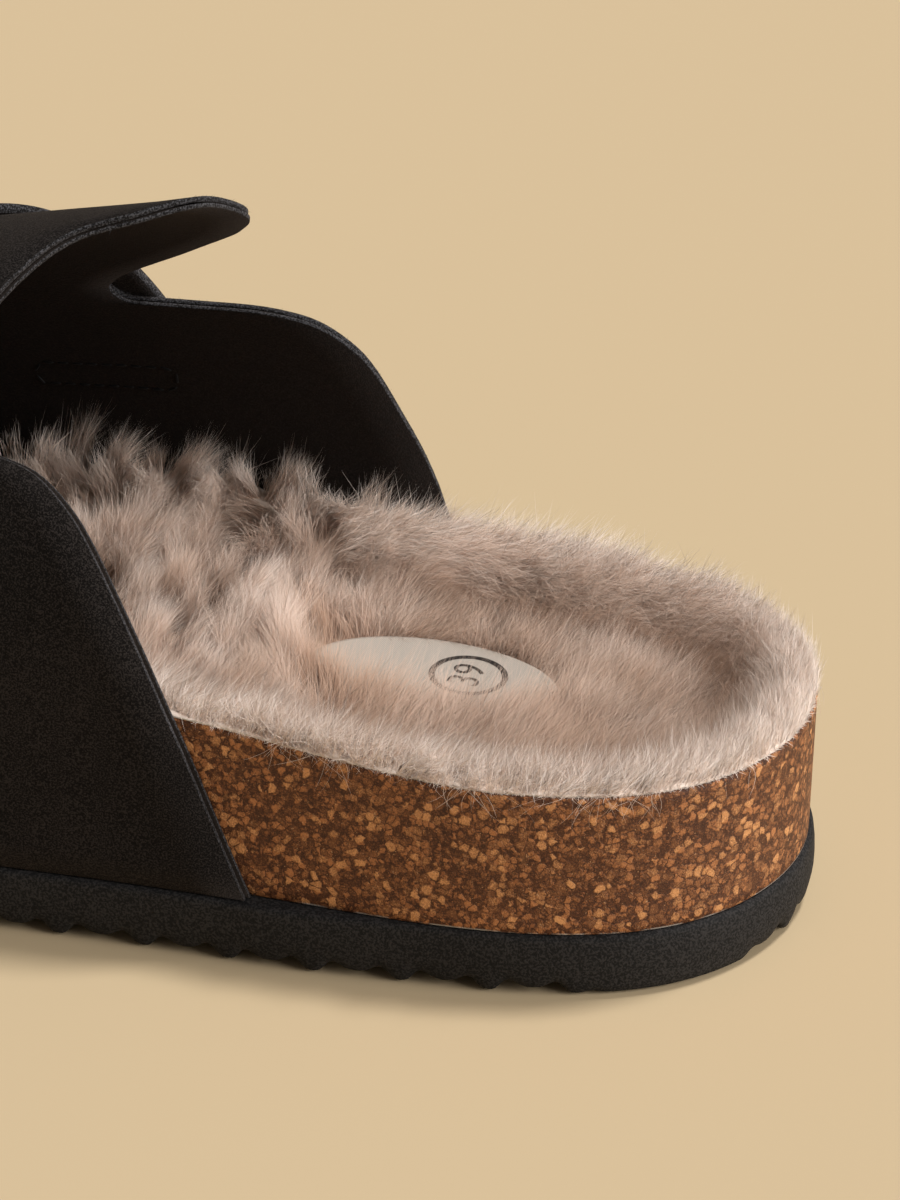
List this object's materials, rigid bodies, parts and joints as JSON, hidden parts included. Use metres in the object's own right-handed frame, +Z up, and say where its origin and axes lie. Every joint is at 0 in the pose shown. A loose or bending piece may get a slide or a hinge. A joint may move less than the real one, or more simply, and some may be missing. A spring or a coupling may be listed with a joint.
{
  "type": "house clog slipper",
  "caption": "Closed-toe house clog slipper for the right foot with a cork footbed, a fur insole, a felted upper with a tongue between slits, and a scalloped foam outsole.",
  "frame": {"origin": "on the floor under the middle of the outsole's plan", "axes": "+X from heel to toe, +Y to the inner side of the foot, +Z up"},
  "size_m": [0.26, 0.0988, 0.0931],
  "materials": {
    "black_foam": "matt fine-grained foam",
    "cork": "pressed cork granules, sanded",
    "fur": "soft pinkish beige fur",
    "woven_patch": "fine cream weave",
    "black_felt": "black felt with a fine nap, raw cut edges",
    "strap_felt": "black felt with a fine nap, raw cut edges"
  },
  "bodies": {
    "root": {"outsole": "black_foam", "cork_midsole": "cork", "fur_insole": "fur", "heel_patch": "woven_patch", "upper": "black_felt", "instep_strap": "strap_felt"}
  },
  "joints": []
}
